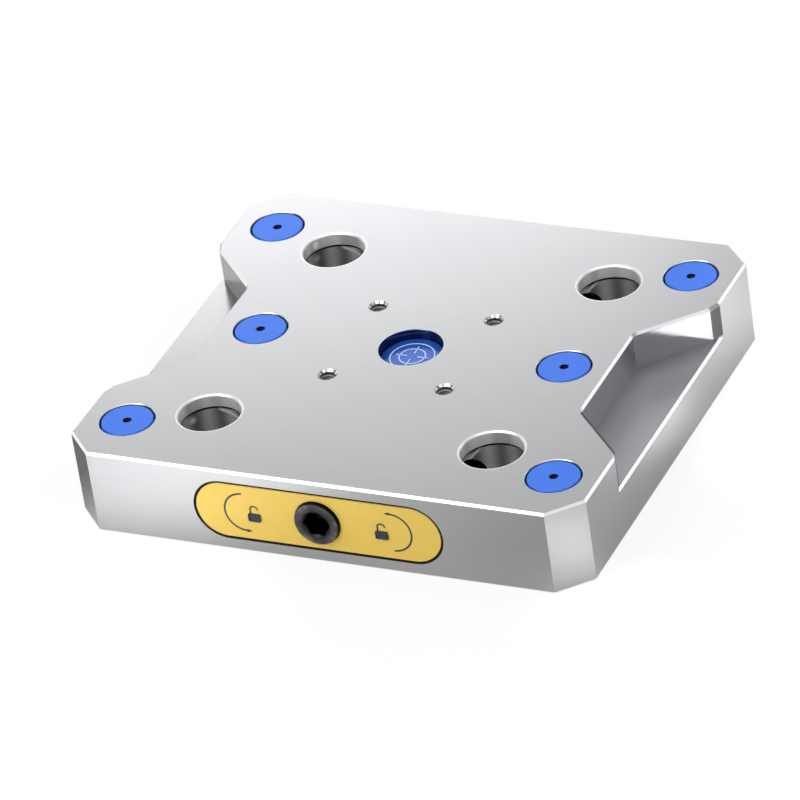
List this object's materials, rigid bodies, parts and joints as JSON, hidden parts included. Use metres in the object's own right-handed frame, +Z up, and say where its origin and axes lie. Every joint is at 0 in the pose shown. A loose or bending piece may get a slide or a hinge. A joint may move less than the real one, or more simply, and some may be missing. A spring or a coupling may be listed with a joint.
{
  "type": "zero point clamping plate",
  "caption": "Ground steel zero point clamping plate with stud bores, finger pockets, capped screw holes and a hex spindle that clamps all studs through an internal wedge slide.",
  "frame": {"origin": "centre of the underside, midway between the corner screw holes", "axes": "+Z up, out of the top face; -Y out of the front face with the spindle; +X to the right"},
  "size_m": [0.174, 0.1558, 0.029],
  "materials": {
    "ground_steel": "finely ground, bright",
    "hardened_steel": "hardened and ground",
    "spring_steel": "bright wire",
    "black_oxide": "black oxide",
    "bronze": "turned bearing bronze",
    "cover_aluminium": "milled",
    "gold_anodised": "matt gold anodised",
    "blue_anodised": "matt blue anodised",
    "black_rubber": "plain"
  },
  "bodies": {
    "plate": {"plate_body": "ground_steel", "label_plate": "gold_anodised", "label_gasket": "black_rubber", "retaining_bush": "bronze", "front_thrust_washer": "bronze", "rear_thrust_washer": "bronze", "stop_pins": "hardened_steel", "bottom_cover": "cover_aluminium", "cover_gasket": "black_rubber", "cover_screws": "black_oxide", "centre_plug": "blue_anodised", "centre_plug_seal": "black_rubber", "return_spring_front_left": "spring_steel", "return_spring_front_right": "spring_steel", "return_spring_rear_left": "spring_steel", "return_spring_rear_right": "spring_steel"},
    "spindle": {"spindle": "black_oxide", "spindle_seal": "black_rubber"},
    "wedge_slide": {"wedge_slide": "hardened_steel"},
    "clamping_pin_front_left": {"clamping_pin_front_left": "black_oxide"},
    "clamping_pin_front_right": {"clamping_pin_front_right": "black_oxide"},
    "clamping_pin_rear_left": {"clamping_pin_rear_left": "black_oxide"},
    "clamping_pin_rear_right": {"clamping_pin_rear_right": "black_oxide"},
    "cap_front_left": {"cap_front_left": "blue_anodised", "cap_seal_front_left": "black_rubber"},
    "cap_front_right": {"cap_front_right": "blue_anodised", "cap_seal_front_right": "black_rubber"},
    "cap_rear_left": {"cap_rear_left": "blue_anodised", "cap_seal_rear_left": "black_rubber"},
    "cap_rear_right": {"cap_rear_right": "blue_anodised", "cap_seal_rear_right": "black_rubber"},
    "cap_middle_left": {"cap_middle_left": "blue_anodised", "cap_seal_middle_left": "black_rubber"},
    "cap_middle_right": {"cap_middle_right": "blue_anodised", "cap_seal_middle_right": "black_rubber"}
  },
  "joints": [
    {"name": "spindle_turn", "type": "hinge", "parent": "plate", "child": "spindle", "pos_m": [0, -0.07725, 0.0145], "axis": [0, 1, 0], "range_deg": [0, 720]},
    {"name": "wedge_slide_travel", "type": "slide", "parent": "plate", "child": "wedge_slide", "axis": [0, -1, 0], "range_m": [0, 0.006]},
    {"name": "clamping_pin_front_left_travel", "type": "slide", "parent": "plate", "child": "clamping_pin_front_left", "axis": [-1, 0, 0], "range_m": [0, 0.00218], "deforming": ["return_spring_front_left"]},
    {"name": "clamping_pin_front_right_travel", "type": "slide", "parent": "plate", "child": "clamping_pin_front_right", "axis": [1, 0, 0], "range_m": [0, 0.00218], "deforming": ["return_spring_front_right"]},
    {"name": "clamping_pin_rear_left_travel", "type": "slide", "parent": "plate", "child": "clamping_pin_rear_left", "axis": [-1, 0, 0], "range_m": [0, 0.00218], "deforming": ["return_spring_rear_left"]},
    {"name": "clamping_pin_rear_right_travel", "type": "slide", "parent": "plate", "child": "clamping_pin_rear_right", "axis": [1, 0, 0], "range_m": [0, 0.00218], "deforming": ["return_spring_rear_right"]},
    {"name": "cap_front_left_lift", "type": "slide", "parent": "plate", "child": "cap_front_left", "axis": [0, 0, 1], "range_m": [0, 0.02]},
    {"name": "cap_front_right_lift", "type": "slide", "parent": "plate", "child": "cap_front_right", "axis": [0, 0, 1], "range_m": [0, 0.02]},
    {"name": "cap_rear_left_lift", "type": "slide", "parent": "plate", "child": "cap_rear_left", "axis": [0, 0, 1], "range_m": [0, 0.02]},
    {"name": "cap_rear_right_lift", "type": "slide", "parent": "plate", "child": "cap_rear_right", "axis": [0, 0, 1], "range_m": [0, 0.02]},
    {"name": "cap_middle_left_lift", "type": "slide", "parent": "plate", "child": "cap_middle_left", "axis": [0, 0, 1], "range_m": [0, 0.02]},
    {"name": "cap_middle_right_lift", "type": "slide", "parent": "plate", "child": "cap_middle_right", "axis": [0, 0, 1], "range_m": [0, 0.02]}
  ],
  "couplings": [
    {"joint": "spindle_turn", "follows": "wedge_slide_travel", "rad_per_m": 2094.4},
    {"joint": "clamping_pin_front_left_travel", "follows": "wedge_slide_travel", "ratio": 0.36397},
    {"joint": "clamping_pin_front_right_travel", "follows": "wedge_slide_travel", "ratio": 0.36397},
    {"joint": "clamping_pin_rear_left_travel", "follows": "wedge_slide_travel", "ratio": 0.36397},
    {"joint": "clamping_pin_rear_right_travel", "follows": "wedge_slide_travel", "ratio": 0.36397}
  ]
}
